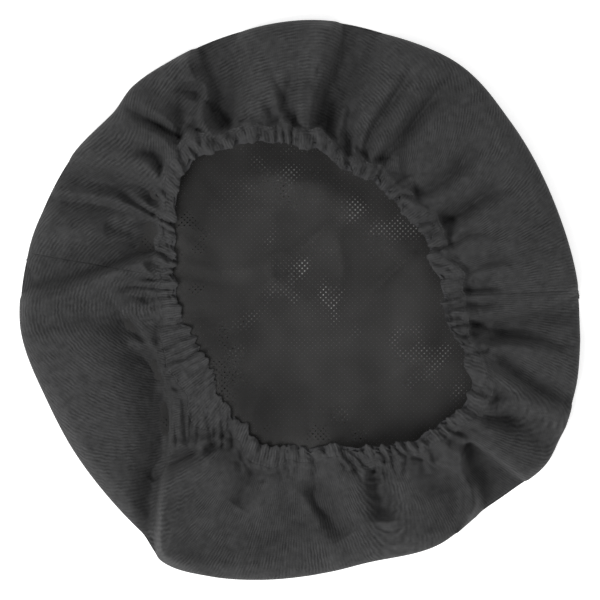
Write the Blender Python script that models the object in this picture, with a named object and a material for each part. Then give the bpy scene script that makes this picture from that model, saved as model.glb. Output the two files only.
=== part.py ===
"""A soft bouffant chef's cap, lying crown down with its elastic opening up, as plain solids.

The crown is a flat disc of mesh cloth. A twill side band in two halves is sewn to its edge, folds
over at the rim and runs back inward, gathered, to a casing that holds a ring of elastic round the
opening. Lengths are in metres and angles in degrees, counted from +X towards +Y.
"""

import math

import bmesh
import bpy
import numpy as np

# Driving dimensions
CLOTH = 0.0008  # twill with its nap
NET = 0.0006  # mesh cloth of the crown
GAP = 0.0003  # between pieces that touch
THREAD_RADIUS = 0.00025

SEAM_SHARE = 0.92  # crown seam, as a share of the distance to the rim
SEAM_WIDTH = 0.007
SEAM_THICKNESS = 0.0014
TOPSTITCH_OFFSET = 0.003  # from the crown seam out to the stitching beside it

BAND_START_HEIGHT = 0.0013
UNDER_REACH = 0.006  # how far the band lies flat from its seam before it curves up
UNDER_CURVE_HEIGHT = 0.003
RIM_HEIGHT = 0.010  # height of the outermost line of the fold
RIM_RISE = 0.006  # straight up above that line before the cloth rounds over
SHOULDER_HEIGHT = 0.019
SHOULDER_SHARE = 0.30  # place of the shoulder on the way from the rim to the casing
ROUND_SHARE = 0.12  # and of the corner that rounds the cloth into it
CREST_SHARE = 0.55  # and of the corner that carries it on towards the hem

HEM_HEIGHT = 0.031  # height of the opening's edge, on average
HEM_SWAY = 0.006  # how much lower it lies on one side and higher on the other
HEM_LOW_SIDE = 200.0
HEM_TILT = 12.0  # how steeply the casing rises towards the opening
HEM_APPROACH = 0.010  # how far outside the casing the band already lies at that tilt

ELASTIC_START = 0.0019  # from the opening's edge
ELASTIC_WIDTH = 0.008
ELASTIC_THICKNESS = 0.0008
ELASTIC_GAP_HALF = 7.0  # degrees each side of the lap where its ends are sewn together
LAP_CLEARANCE = 0.5
CASING_WIDTH = 0.015
CASING_CLOTH = 0.0006
HAIRPIN_DEPTH = 0.0011  # the round end of the casing's fold
HAIRPIN_CORNER = 0.0003
HAIRPIN_CORNER_SHARE = 0.6
HAIRPIN_HOLLOW = 0.0015  # where the hollow inside the fold starts
HEM_STITCH_INSET = 0.002  # from the casing's outer edge

GATHERS = 16
GATHER_HEIGHT = 0.0022
FLAP_MIDDLE, FLAP_HALF = 275.0, 36.0  # the lifted stretch of the band, in degrees
FLAP_LIFT = 0.004

SIDE_SEAMS = {"side_seam_right": 2.0, "side_seam_left": 170.0}
BAND_RADIUS = 0.12  # where widths along the band's joints are measured
OPENING_RADIUS = 0.07  # and where the gaps between its halves are widest in degrees
LAP_OFFSET = 30.0  # from the left side seam to the elastic's lap, in degrees
SHARP_ANGLE = 40.0

COLUMNS = 96  # steps round the cap
SEAM_COLUMNS = 5
LAP_COLUMNS = 7
THREAD_SIDES = 6
UNDER_STEPS = (0.0, 0.3, 0.6, 0.85)
RISE_STEPS = (0.0, 0.3, 0.65)
TOP_STEPS = (0.0, 0.2, 0.4, 0.6, 0.8, 1.0)

# Direction in degrees and distance in metres from the middle, for the rim and for the opening.
RIM = (
    (0, 0.1452), (20, 0.1415), (40, 0.1432), (55, 0.1476), (70, 0.1455), (86, 0.1455),
    (100, 0.1432), (118, 0.1409), (128, 0.1405), (135, 0.1369), (147, 0.1396), (160, 0.1411),
    (180, 0.1448), (187, 0.1451), (201, 0.1408), (213, 0.1405), (226, 0.1421), (236, 0.1460),
    (242.5, 0.1530), (252, 0.1504), (262, 0.1464), (272, 0.1432), (285, 0.1405), (300, 0.1460),
    (310, 0.1448), (318, 0.1480), (326, 0.1533), (333, 0.1531), (342, 0.1505), (351, 0.1472),
)
OPENING = (
    (0, 0.0724), (20, 0.0690), (45, 0.0695), (68, 0.0697), (83, 0.0750), (97, 0.0798),
    (113, 0.0848), (130, 0.0875), (141, 0.0800), (154, 0.0705), (170, 0.0630), (188, 0.0602),
    (203, 0.0556), (217, 0.0545), (230, 0.0632), (245, 0.0680), (255, 0.0738), (270, 0.0735),
    (289, 0.0778), (305, 0.0889), (318, 0.0942), (331, 0.0985), (341, 0.0880), (350, 0.0765),
)


def clear_scene():
    for item in list(bpy.data.objects):
        bpy.data.objects.remove(item, do_unlink=True)


def distance(outline, degrees):
    """The outline's distance from the middle in a direction, on a smooth closed curve."""
    count = len(outline)
    turned = (degrees - outline[0][0]) % 360.0 + outline[0][0]
    index = max(i for i in range(count) if outline[i][0] <= turned)
    corners = []
    for step in (-1, 0, 1, 2):
        turns, place = divmod(index + step, count)
        corners.append((outline[place][0] + 360.0 * turns, outline[place][1]))
    (a0, r0), (a1, r1), (a2, r2), (a3, r3) = corners
    width = a2 - a1
    t = (turned - a1) / width
    slope_1 = (r2 - r0) / (a2 - a0) * width
    slope_2 = (r3 - r1) / (a3 - a1) * width
    start = (1 + 2 * t) * (1 - t) ** 2 * r1 + t * (1 - t) ** 2 * slope_1
    return start + t * t * (3 - 2 * t) * r2 + t * t * (t - 1) * slope_2


def middle_of_rim():
    """The middle of the rim's own box, which becomes the origin."""
    steps = np.radians(np.arange(0, 360, 0.5))
    radii = np.array([distance(RIM, math.degrees(a)) for a in steps])
    across, along = radii * np.cos(steps), radii * np.sin(steps)
    return (across.min() + across.max()) / 2, (along.min() + along.max()) / 2


MIDDLE = middle_of_rim()


def place(degrees, radius, height):
    angle = math.radians(degrees)
    x = radius * math.cos(angle) - MIDDLE[0]
    y = radius * math.sin(angle) - MIDDLE[1]
    return (x, y, height)


def flap_lift(degrees):
    away = abs((degrees - FLAP_MIDDLE + 180.0) % 360.0 - 180.0) / FLAP_HALF
    return FLAP_LIFT * math.cos(min(away, 1.0) * math.pi / 2) ** 2


def hem_point(degrees, along, above):
    """A point of the hem in its own tilted section: along is outward from the opening's edge."""
    tilt = math.radians(HEM_TILT)
    edge_height = HEM_HEIGHT - HEM_SWAY * math.cos(math.radians(degrees - HEM_LOW_SIDE))
    radius = distance(OPENING, degrees) + along * math.cos(tilt) + above * math.sin(tilt)
    height = edge_height - along * math.sin(tilt) + above * math.cos(tilt)
    return radius, height


def bezier(p0, p1, p2, p3, t):
    return tuple(
        (1 - t) ** 3 * a + 3 * t * (1 - t) ** 2 * b + 3 * t * t * (1 - t) * c + t**3 * d
        for a, b, c, d in zip(p0, p1, p2, p3, strict=True)
    )


def band_section(degrees):
    """The band's middle line in one direction, from the crown seam out round the rim to the hem."""
    rim = distance(RIM, degrees) - CLOTH / 2
    seam = (rim * SEAM_SHARE + GAP, BAND_START_HEIGHT)
    outermost = (rim, RIM_HEIGHT)
    mouth = hem_point(degrees, CASING_WIDTH + CLOTH, 0.0)
    before_mouth = hem_point(degrees, CASING_WIDTH + CLOTH + HEM_APPROACH, 0.0)
    width = rim - mouth[0]
    rounding = (rim - ROUND_SHARE * width, SHOULDER_HEIGHT)
    shoulder = (rim - SHOULDER_SHARE * width, SHOULDER_HEIGHT)
    crest = (rim - CREST_SHARE * width, SHOULDER_HEIGHT)
    flat = (seam[0] + UNDER_REACH, BAND_START_HEIGHT)
    under = [bezier(seam, flat, (rim, UNDER_CURVE_HEIGHT), outermost, t) for t in UNDER_STEPS]
    upright = (rim, RIM_HEIGHT + RIM_RISE)
    free = [bezier(outermost, upright, rounding, shoulder, t) for t in RISE_STEPS]
    free += [bezier(shoulder, crest, before_mouth, mouth, t) for t in TOP_STEPS]
    for row, (radius, height) in enumerate(free):
        share = row / (len(free) - 1)
        swell = math.sin(math.pi * share)
        wave = GATHER_HEIGHT * swell * share * math.cos(math.radians(GATHERS * degrees))
        free[row] = (radius, height + wave + flap_lift(degrees) * swell)
    return under + free + [hem_point(degrees, ELASTIC_START + ELASTIC_WIDTH + GAP, 0.0)]


def offset_section(line, amount):
    """A section's line moved sideways, to the left of its direction for a positive amount."""
    moved = []
    for i, (radius, height) in enumerate(line):
        before, after = line[max(i - 1, 0)], line[min(i + 1, len(line) - 1)]
        along = (after[0] - before[0], after[1] - before[1])
        length = math.hypot(*along)
        moved.append((radius - along[1] / length * amount, height + along[0] / length * amount))
    return moved


def cloth_material(name, colour, roughness):
    material = bpy.data.materials.new(name)
    material.use_nodes = True
    shader = material.node_tree.nodes["Principled BSDF"]
    shader.inputs["Base Color"].default_value = (*colour, 1.0)
    shader.inputs["Roughness"].default_value = roughness
    shader.inputs["Metallic"].default_value = 0.0
    material.diffuse_color = (*colour, 1.0)
    return material


def add_object(name, mesh, material):
    mesh.shade_smooth()
    mesh.set_sharp_from_angle(angle=math.radians(SHARP_ANGLE))
    mesh.materials.append(material)
    bpy.context.scene.collection.objects.link(bpy.data.objects.new(name, mesh))


def solid(name, sections, directions, closed, material):
    """A body swept through sections, each a closed loop of (radius, height), round the cap."""
    bm = bmesh.new()
    loops = []
    for section, degrees in zip(sections, directions, strict=True):
        loops.append([bm.verts.new(place(degrees, *point)) for point in section])
    pairs = list(zip(loops, loops[1:], strict=False))
    if closed:
        pairs.append((loops[-1], loops[0]))
    size = len(loops[0])
    for one, two in pairs:
        for i in range(size):
            j = (i + 1) % size
            bm.faces.new((one[i], one[j], two[j], two[i]))
    if not closed:
        bm.faces.new(loops[0][::-1])
        bm.faces.new(loops[-1])
    bmesh.ops.recalc_face_normals(bm, faces=bm.faces)
    mesh = bpy.data.meshes.new(name)
    bm.to_mesh(mesh)
    bm.free()
    add_object(name, mesh, material)


def ring(name, section_at, material):
    """A closed ring whose section in each direction comes from section_at(degrees)."""
    directions = [360.0 * i / COLUMNS for i in range(COLUMNS)]
    solid(name, [section_at(a) for a in directions], directions, True, material)


def seam_radius(degrees):
    return distance(RIM, degrees) * SEAM_SHARE - CLOTH


def build_crown(material):
    """The disc of mesh cloth, flat on what the cap lies on."""
    bm = bmesh.new()
    outline = [
        bm.verts.new(place(a, seam_radius(a) - GAP, 0.0))
        for a in (360.0 * i / COLUMNS for i in range(COLUMNS))
    ]
    face = bm.faces.new(outline)
    raised = bmesh.ops.extrude_face_region(bm, geom=[face])
    top = [item for item in raised["geom"] if isinstance(item, bmesh.types.BMVert)]
    bmesh.ops.translate(bm, verts=top, vec=(0.0, 0.0, NET))
    bmesh.ops.recalc_face_normals(bm, faces=bm.faces)
    mesh = bpy.data.meshes.new("crown_mesh")
    bm.to_mesh(mesh)
    bm.free()
    add_object("crown_mesh", mesh, material)


def build_crown_seam(material):
    """The overlocked seam allowance, turned inward and lying on the crown inside the cap."""
    bottom = NET + GAP

    def section(degrees):
        outer = seam_radius(degrees) - GAP
        inner = outer - SEAM_WIDTH
        top = bottom + SEAM_THICKNESS
        return ((inner, bottom), (outer, bottom), (outer, top), (inner, top))

    ring("crown_seam", section, material)


def thread(name, point_at, material):
    """A thread round the cap through point_at(degrees)."""

    def section(degrees):
        radius, height = point_at(degrees)
        corners = (2 * math.pi * k / THREAD_SIDES for k in range(THREAD_SIDES))
        return tuple(
            (radius + THREAD_RADIUS * math.cos(a), height + THREAD_RADIUS * math.sin(a))
            for a in corners
        )

    ring(name, section, material)


def band_half(name, start, end, material):
    """One half of the twill band, between two side seams."""
    count = round(COLUMNS * (end - start) / 360.0)
    edge = math.degrees(GAP / OPENING_RADIUS)
    directions = np.linspace(start + edge, end - edge, count)
    sections = []
    for degrees in directions:
        line = band_section(degrees)
        outer, inner = offset_section(line, -CLOTH / 2), offset_section(line, CLOTH / 2)
        sections.append(outer + inner[::-1])
    solid(name, sections, list(directions), False, material)


def build_side_seam(name, degrees, material):
    """The overlocked seam allowance inside the band, along a joint between its halves."""
    half = math.degrees(SEAM_WIDTH / 2 / BAND_RADIUS)
    directions = np.linspace(degrees - half, degrees + half, SEAM_COLUMNS)
    sections = []
    for angle in directions:
        line = band_section(angle)[1:-2]
        near = offset_section(line, CLOTH / 2 + GAP)
        far = offset_section(line, CLOTH / 2 + GAP + SEAM_THICKNESS)
        sections.append(near + far[::-1])
    solid(name, sections, list(directions), False, material)


def build_casing(material):
    """The strip folded round the elastic, in a hairpin that also holds the band's edge."""
    room = CLOTH / 2 + GAP
    outside = room + CASING_CLOTH
    bend = ELASTIC_THICKNESS / 2 + GAP
    corner = outside * HAIRPIN_CORNER_SHARE
    shape = (
        (CASING_WIDTH, outside), (HAIRPIN_DEPTH, outside), (HAIRPIN_CORNER, corner), (0.0, 0.0),
        (HAIRPIN_CORNER, -corner), (HAIRPIN_DEPTH, -outside), (CASING_WIDTH, -outside),
        (CASING_WIDTH, -room), (HAIRPIN_HOLLOW, -bend), (HAIRPIN_HOLLOW, bend), (CASING_WIDTH, room),
    )
    ring("hem_casing", lambda a: tuple(hem_point(a, *corner) for corner in shape), material)


def build_elastic(material, thread_material):
    """The flat elastic ring in the casing, and the lap where its two ends are sewn together."""
    end, half = ELASTIC_START + ELASTIC_WIDTH, ELASTIC_THICKNESS / 2
    shape = ((ELASTIC_START, -half), (end, -half), (end, half), (ELASTIC_START, half))
    gap_at = SIDE_SEAMS["side_seam_left"] + LAP_OFFSET
    directions = np.linspace(gap_at + ELASTIC_GAP_HALF, gap_at + 360.0 - ELASTIC_GAP_HALF, COLUMNS)
    sections = [tuple(hem_point(a, *corner) for corner in shape) for a in directions]
    solid("elastic_band", sections, list(directions), False, material)
    lap_half = ELASTIC_GAP_HALF - LAP_CLEARANCE
    directions = np.linspace(gap_at - lap_half, gap_at + lap_half, LAP_COLUMNS)
    sections = [tuple(hem_point(a, *corner) for corner in shape) for a in directions]
    solid("elastic_join", sections, list(directions), False, thread_material)


def build_hem_stitch(material):
    """The row of stitching that closes the casing, on its outer face."""
    above = CLOTH / 2 + GAP + CASING_CLOTH + GAP + THREAD_RADIUS
    thread("hem_stitch", lambda a: hem_point(a, CASING_WIDTH - HEM_STITCH_INSET, above), material)


def build_topstitch(material):
    """The row of stitching under the band, just outside the crown seam."""
    thread("crown_topstitch", lambda a: (seam_radius(a) + TOPSTITCH_OFFSET, THREAD_RADIUS), material)


def main():
    clear_scene()
    twill = cloth_material("black_twill", (0.040, 0.040, 0.041), 0.92)
    casing_twill = cloth_material("casing_twill", (0.045, 0.045, 0.046), 0.92)
    net = cloth_material("black_mesh_cloth", (0.030, 0.029, 0.028), 0.80)
    stitching = cloth_material("black_thread", (0.050, 0.050, 0.052), 0.70)
    rubber = cloth_material("black_elastic", (0.060, 0.060, 0.062), 0.75)
    overlock = cloth_material("overlocked_edge", (0.055, 0.055, 0.057), 0.85)
    build_crown(net)
    build_crown_seam(overlock)
    build_topstitch(stitching)
    right, left = SIDE_SEAMS["side_seam_right"], SIDE_SEAMS["side_seam_left"]
    band_half("side_band_back", right, left, twill)
    band_half("side_band_front", left, right + 360.0, twill)
    for name, degrees in SIDE_SEAMS.items():
        build_side_seam(name, degrees, overlock)
    build_casing(casing_twill)
    build_elastic(rubber, stitching)
    build_hem_stitch(stitching)


main()
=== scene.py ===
"""Looks of a soft bouffant chef's cap lying crown down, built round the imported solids.

The cloth is worked out in millimetres: a rim outline, a hem outline, and the folds drawn between
them as strokes in plan. Everything is turned into metres when its mesh is made.
"""

import math

import bpy
import numpy as np
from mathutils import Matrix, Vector


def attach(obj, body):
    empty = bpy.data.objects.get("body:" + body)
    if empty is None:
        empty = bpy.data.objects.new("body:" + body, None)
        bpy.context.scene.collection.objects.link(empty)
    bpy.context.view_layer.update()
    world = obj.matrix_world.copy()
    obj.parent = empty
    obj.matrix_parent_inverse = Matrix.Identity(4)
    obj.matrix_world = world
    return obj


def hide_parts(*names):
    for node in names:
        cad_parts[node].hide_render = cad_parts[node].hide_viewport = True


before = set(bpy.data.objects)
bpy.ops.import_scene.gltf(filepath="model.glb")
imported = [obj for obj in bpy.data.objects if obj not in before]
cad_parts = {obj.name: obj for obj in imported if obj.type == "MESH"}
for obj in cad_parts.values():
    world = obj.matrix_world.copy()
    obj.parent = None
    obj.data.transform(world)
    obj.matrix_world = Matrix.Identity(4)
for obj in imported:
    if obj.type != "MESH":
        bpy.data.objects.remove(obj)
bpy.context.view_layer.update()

MM = 0.001
SHIFT = (-0.31, -0.12)  # moves the outlines' middle to the frame's origin

# Direction in degrees from +X, and distance in millimetres from the middle.
RIM = (
    (0, 145.2), (20, 141.5), (40, 143.2), (55, 147.6), (70, 145.5), (86, 145.5),
    (100, 143.2), (118, 140.9), (128, 140.5), (135, 136.9), (147, 139.6), (160, 141.1),
    (180, 144.8), (187, 145.1), (201, 140.8), (213, 140.5), (226, 142.1), (236, 146.0),
    (242.5, 153.0), (252, 150.4), (262, 146.4), (272, 143.2), (285, 140.5), (300, 146.0),
    (310, 144.8), (318, 148.0), (326, 153.3), (333, 153.1), (342, 150.5), (351, 147.2),
)
OPENING = (
    (0, 72.4), (20, 69.0), (45, 69.5), (68, 69.7), (83, 75.0), (97, 79.8),
    (113, 84.8), (130, 87.5), (141, 80.0), (154, 70.5), (170, 63.0), (188, 60.2),
    (203, 55.6), (217, 54.5), (230, 63.2), (245, 68.0), (255, 73.8), (270, 73.5),
    (289, 77.8), (305, 88.9), (318, 94.2), (331, 98.5), (341, 88.0), (350, 76.5),
)
HEM_WIDTH = (
    (0, 12.0), (30, 12.0), (60, 11.0), (90, 11.0), (120, 12.0), (150, 12.0), (175, 14.0),
    (193, 17.0), (205, 22.0), (217, 25.0), (228, 24.0), (238, 15.0), (255, 12.0),
    (290, 12.0), (320, 12.0), (338, 15.0),
)
SEAM_SHARE = 0.92
HEM_LEVEL = (
    (0, 29.0), (45, 31.0), (95, 32.0), (125, 28.0), (160, 20.0), (185, 16.5), (215, 16.5),
    (240, 18.0), (270, 20.5), (300, 24.0), (325, 30.0), (342, 31.0),
)
RIM_HEIGHT = 9.0
RIM_ROUND = 10.0
SHOULDER = 9.0
UNDERSIDE = 0.9
HEM_HALF = 2.6
HEM_RISE = 1.2
HEM_SLOPE = 8.0
CLOTH = 0.6  # thickness of the twill
FLOOR_OF_FOLDS = 1.8  # least height of the band's top over its underside

BAND_COLUMNS = 960
UNDER_ROWS, OVER_ROWS, TOP_ROWS = 9, 13, 78  # under the rim, over it and on to the hem
HEM_COLUMNS = 1440
LEFT_SEAM, RIGHT_SEAM = 170.0, 2.0


def ease(value):
    """From 0 to 1 with level ends."""
    t = np.clip(value, 0.0, 1.0)
    return t * t * (3.0 - 2.0 * t)


def around(points, degrees):
    """A value given at some directions, on a smooth closed curve through them."""
    angles = np.array([p[0] for p in points], float)
    values = np.array([p[1] for p in points], float)
    count = len(points)
    turned = (np.asarray(degrees, float) - angles[0]) % 360.0 + angles[0]
    first = np.searchsorted(angles, turned, side="right") - 1

    def knot(step):
        turns, place = np.divmod(first + step, count)
        return angles[place] + 360.0 * turns, values[place]

    (a0, r0), (a1, r1), (a2, r2), (a3, r3) = (knot(step) for step in (-1, 0, 1, 2))
    width = a2 - a1
    t = (turned - a1) / width
    slope_1 = (r2 - r0) / (a2 - a0) * width
    slope_2 = (r3 - r1) / (a3 - a1) * width
    start = (1 + 2 * t) * (1 - t) ** 2 * r1 + t * (1 - t) ** 2 * slope_1
    return start + t * t * (3 - 2 * t) * r2 + t * t * (t - 1) * slope_2


def noise(u, v, across, along, seed):
    """Smooth noise from about -1 to 1, closed in u. u and v run from 0 to 1."""
    draw = np.random.default_rng(seed)
    turn = draw.uniform(0.0, 2.0 * math.pi, (across, along + 2))
    x, y = (u % 1.0) * across, np.clip(v, 0.0, 1.0) * along
    i, j = np.floor(x).astype(int), np.floor(y).astype(int)
    fx, fy = x - i, y - j

    def corner(di, dj):
        angle = turn[(i + di) % across, j + dj]
        return np.cos(angle) * (fx - di) + np.sin(angle) * (fy - dj)

    wx = fx**3 * (fx * (6 * fx - 15) + 10)
    wy = fy**3 * (fy * (6 * fy - 15) + 10)
    low = corner(0, 0) * (1 - wx) + corner(1, 0) * wx
    high = corner(0, 1) * (1 - wx) + corner(1, 1) * wx
    return 1.6 * (low * (1 - wy) + high * wy)


def smooth_path(points, steps=6):
    """A polyline through points on a Catmull-Rom curve."""
    p = np.array([points[0], *points, points[-1]], float)
    out = []
    for k in range(1, len(p) - 2):
        for t in np.arange(steps) / steps:
            a = 2 * p[k]
            b = p[k + 1] - p[k - 1]
            c = 2 * p[k - 1] - 5 * p[k] + 4 * p[k + 1] - p[k + 2]
            d = -p[k - 1] + 3 * p[k] - 3 * p[k + 1] + p[k + 2]
            out.append(0.5 * (a + b * t + c * t * t + d * t**3))
    out.append(p[-2])
    return np.array(out)


def near_path(x, y, points):
    """For points of the plan: distance from a stroke, side (+1 on its left) and share along it."""
    path = smooth_path(points) + SHIFT
    best = np.full(x.shape, 1e9)
    side = np.ones(x.shape)
    share = np.zeros(x.shape)
    legs = len(path) - 1
    for k in range(legs):
        ax, ay = path[k]
        dx, dy = path[k + 1] - path[k]
        t = np.clip(((x - ax) * dx + (y - ay) * dy) / (dx * dx + dy * dy + 1e-12), 0, 1)
        ox, oy = x - ax - t * dx, y - ay - t * dy
        gap = np.hypot(ox, oy)
        closer = gap < best
        best = np.where(closer, gap, best)
        side = np.where(closer, np.sign(dx * (y - ay) - dy * (x - ax)), side)
        share = np.where(closer, (k + t) / legs, share)
    return best, side, share


# Folds seen in plan. Each has a height (negative for a groove), the powers that shape its two
# flanks (2 is a bell, more is flatter with a steeper side), its half-widths, and its path, most
# often from the rim inward. Powers and widths give the left flank, seen along the path, before the
# right one, and the widths give both at the path's start and then both at its end.
FOLDS = (
    # top left: the widest trough between two rolls, and the hollow beside it
    (-20.0, (2, 4), (13.0, 14.0, 7.0, 9.0),
     ((-42, 141), (-41, 127), (-37, 113), (-36, 104), (-38, 95))),
    (8.0, (2, 2), (5.0, 11.0, 4.0, 7.0), ((-63, 140), (-60, 131), (-57, 123))),
    (-12.0, (3, 3), (5.0, 10.0, 5.0, 8.0), ((-55, 113), (-55, 104), (-57, 93))),
    (-5.0, (2, 2), (7.0, 9.0, 5.0, 6.0), ((-72, 108), (-63, 99))),
    (-7.0, (2, 2), (2.6, 2.6, 2.6, 2.6), ((-61, 91), (-60, 82), (-53, 71))),
    (-6.0, (2, 2), (2.4, 2.4, 2.4, 2.4), ((-52, 89), (-50, 79))),
    (-8.0, (2, 2), (3.5, 4.0, 3.0, 3.0), ((-84, 79), (-74, 75), (-70, 67), (-61, 63))),
    (-6.0, (2, 2), (2.6, 2.6, 2.4, 2.4), ((-38, 94), (-34, 81))),
    (-6.0, (2, 2), (2.6, 2.6, 2.4, 2.4), ((-29, 95), (-25, 82))),
    (-5.0, (2, 2), (3.0, 3.0, 2.4, 2.4), ((-15, 101), (-14, 91), (-18, 79))),
    # top: the trough whose left wall is steep, then narrower ones to its right
    (-19.0, (2, 4), (14.0, 11.0, 6.0, 5.0), ((32, 142), (27, 124), (20, 109), (14, 96), (11, 84))),
    (7.0, (2, 2), (5.0, 11.0, 4.0, 7.0), ((14, 143), (12, 132), (10, 123))),
    (-8.0, (2, 2), (4.5, 3.5, 3.0, 3.0), ((-3, 116), (-6, 104), (-5, 95), (-2, 82))),
    (-8.0, (2, 2), (3.6, 3.4, 3.0, 3.0), ((29, 102), (25, 90), (24, 75))),
    (-7.5, (2, 2), (3.0, 2.8, 2.8, 2.8), ((58, 118), (43, 95), (36, 83), (33, 69))),
    (-7.0, (2, 2), (3.0, 2.8, 3.0, 3.0), ((72, 108), (60, 93), (50, 82), (42, 73))),
    (-5.5, (2, 2), (8.0, 7.0, 4.5, 4.5), ((80, 112), (63, 98), (58, 84), (54, 66))),
    (-7.0, (2, 2), (4.0, 4.0, 3.6, 3.4), ((94, 81), (80, 67), (69, 59), (60, 55))),
    (-6.0, (2, 2), (5.0, 5.0, 3.6, 3.4), ((110, 60), (96, 54), (85, 47), (75, 41))),
    (-6.0, (2, 2), (3.0, 3.0, 3.0, 3.0), ((81, 43), (76, 32))),
    # right
    (-5.0, (2, 2), (4.5, 4.5, 3.5, 3.5), ((112, 25), (92, 18), (79, 12))),
    (-4.5, (2, 2), (3.5, 3.5, 3.0, 3.0), ((104, 11), (92, 8), (82, 5))),
    (-8.0, (2, 2), (12.0, 3.5, 7.0, 3.0), ((146, 3), (127, -6), (110, -10), (89, -13))),
    (-6.0, (2, 2), (3.0, 5.0, 3.0, 3.0), ((136, -23), (112, -18), (99, -20))),
    (-4.5, (4, 4), (9.0, 9.0, 6.0, 6.0), ((148, -9), (126, -13), (106, -15))),
    (-8.5, (2, 2), (4.0, 8.0, 4.0, 5.0), ((137, -52), (120, -43), (105, -32))),
    (3.0, (2, 2), (5.0, 5.0, 4.0, 4.0), ((137, -62), (120, -53), (110, -44))),
    (-8.0, (2, 2), (8.0, 7.0, 6.0, 6.0), ((136, -74), (118, -67), (108, -61), (103, -51))),
    (2.5, (2, 2), (6.0, 7.0, 4.0, 5.0), ((126, -95), (108, -82), (93, -72))),
    # bottom right: the pocket past the lifted flap, and the flap's turned right end
    (-17.0, (4, 8), (22.0, 12.0, 4.0, 4.0), ((113, -105), (104, -95), (95, -85), (88, -77))),
    (8.0, (2, 2), (5.0, 2.6, 5.0, 3.0), ((86, -121), (89, -111), (90, -103), (89, -97))),
    (-8.0, (2, 2), (13.0, 3.0, 10.0, 3.0), ((82, -117), (84, -104), (82, -95), (73, -88))),
    # bottom: hollows under the hem and the flap's own folds
    (-12.0, (2, 2), (7.0, 7.0, 6.0, 5.5), ((44, -114), (43, -103), (40, -92))),
    (-11.0, (2, 2), (7.0, 7.0, 5.5, 5.5), ((24, -122), (18, -113), (12, -99))),
    (-6.0, (2, 2), (24.0, 8.0, 14.0, 6.0), ((10, -142), (9, -127), (12, -113), (10, -100))),
    (-8.0, (2, 2), (6.0, 6.0, 3.5, 3.5), ((-33, -106), (-26, -95), (-22, -80))),
    (3.0, (2, 2), (4.0, 4.0, 3.0, 3.0), ((13, -116), (6, -107), (0, -100))),
    (-8.0, (2, 2), (14.0, 12.0, 12.0, 10.0), ((-52, -127), (-34, -123), (-12, -116), (8, -106))),
    (9.0, (2, 2), (4.4, 15.0, 3.4, 11.0),
     ((-68, -140), (-70, -120), (-70, -105), (-67, -96), (-60, -88), (-49, -81))),
    # the long trough between the smooth panel at the left and the hem, with a pleat across it
    (-13.5, (1.9, 3), (7.0, 4.0, 14.0, 3.0),
     ((-78, -136), (-76, -116), (-75, -99), (-73, -86), (-70, -70), (-71, -48), (-78, -28),
      (-89, -11))),
    (-9.0, (2, 2), (4.0, 3.2, 2.4, 2.2), ((-78, -93), (-70, -86), (-62, -82), (-55, -79))),
    (3.0, (2, 2), (2.2, 2.2, 2.2, 2.2),
     ((-67, -70), (-66, -74), (-56, -74), (-44, -72), (-32, -72))),
    (7.0, (2, 2), (3.0, 3.0, 3.0, 3.0), ((-88, -19), (-80, -23), (-70, -20), (-62, -16))),
    (-4.0, (2, 2), (7.0, 7.0, 7.0, 7.0), ((-132, -10), (-108, -6))),
    # left: the long slanting fold with a lit ridge on each side, and the shallow one above it
    (-15.0, (2, 4), (16.0, 8.0, 7.0, 4.5),
     ((-147, 8), (-125, 12), (-112, 17), (-98, 22), (-80, 28), (-68, 32))),
    (6.0, (2, 2), (5.0, 11.0, 3.0, 5.0), ((-146, -2), (-122, 7), (-100, 13), (-80, 20), (-68, 24))),
    (2.5, (2, 2), (5.0, 3.0, 4.0, 2.5), ((-122, 31), (-100, 31), (-85, 34), (-70, 38))),
    (-14.0, (2, 2), (4.0, 18.0, 3.4, 10.0),
     ((-128, 70), (-112, 68), (-98, 65), (-86, 61), (-77, 56))),
    (-8.0, (2, 2), (3.6, 13.0, 3.0, 9.0), ((-136, 52), (-110, 50), (-92, 46), (-80, 42))),
    (3.0, (2, 2), (7.0, 4.0, 4.0, 3.0), ((-124, 82), (-100, 76), (-86, 71), (-73, 66))),
    (-6.0, (2, 2), (4.5, 4.5, 4.5, 4.5), ((-101, 38), (-88, 36), (-79, 37))),
)
# Broad swellings and hollows: x, y, half-widths in x and y, height
SWELLS = (
    (-106, -60, 24, 48, 5.5),
    (-56, -116, 24, 20, 5.5),
    (-36, -92, 18, 12, 2.5),
    (45, -118, 34, 12, 3.0),
    (118, 22, 18, 22, 2.0),
    (-116, 38, 20, 10, 4.0),
    (-104, 59, 18, 10, -4.0),
    (50, 122, 26, 14, 2.0),
    (-8, 124, 20, 12, 2.0),
    (100, 84, 22, 20, 2.0),
    (-95, 92, 24, 18, 2.0),
    (122, -60, 14, 18, 2.0),
)
# Where the cloth lies smooth: x, y, half-widths
CALM = ((-113, -60, 26, 54), (118, 25, 22, 30), (-60, -110, 20, 20))


def fold_heights(x, y):
    """Height that the folds add at points of the plan."""
    total = np.zeros(x.shape)
    for height, powers, widths, points in FOLDS:
        reach = 2.3 * max(widths)
        low, high = np.min(points, axis=0) - reach, np.max(points, axis=0) + reach
        near = (x > low[0]) & (x < high[0]) & (y > low[1]) & (y < high[1])
        if not near.any():
            continue
        gap, side, share = near_path(x[near], y[near], points)
        left = widths[0] + (widths[2] - widths[0]) * share
        right = widths[1] + (widths[3] - widths[1]) * share
        width = np.where(side > 0, left, right)
        power = np.where(side > 0, powers[0], powers[1])
        start_x, start_y = points[0]
        rim = around(RIM, math.degrees(math.atan2(start_y, start_x)) % 360.0)
        fade = 1.0 if math.hypot(start_x, start_y) > 0.9 * rim else ease((share + 0.12) / 0.42)
        total[near] += height * fade * np.exp(-((gap / width) ** power))
    return total


def swell_heights(x, y):
    total = np.zeros(x.shape)
    for cx, cy, wide, deep, height in SWELLS:
        total += height * np.exp(-(((x - cx) / wide) ** 2) - ((y - cy) / deep) ** 2)
    return total


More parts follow.
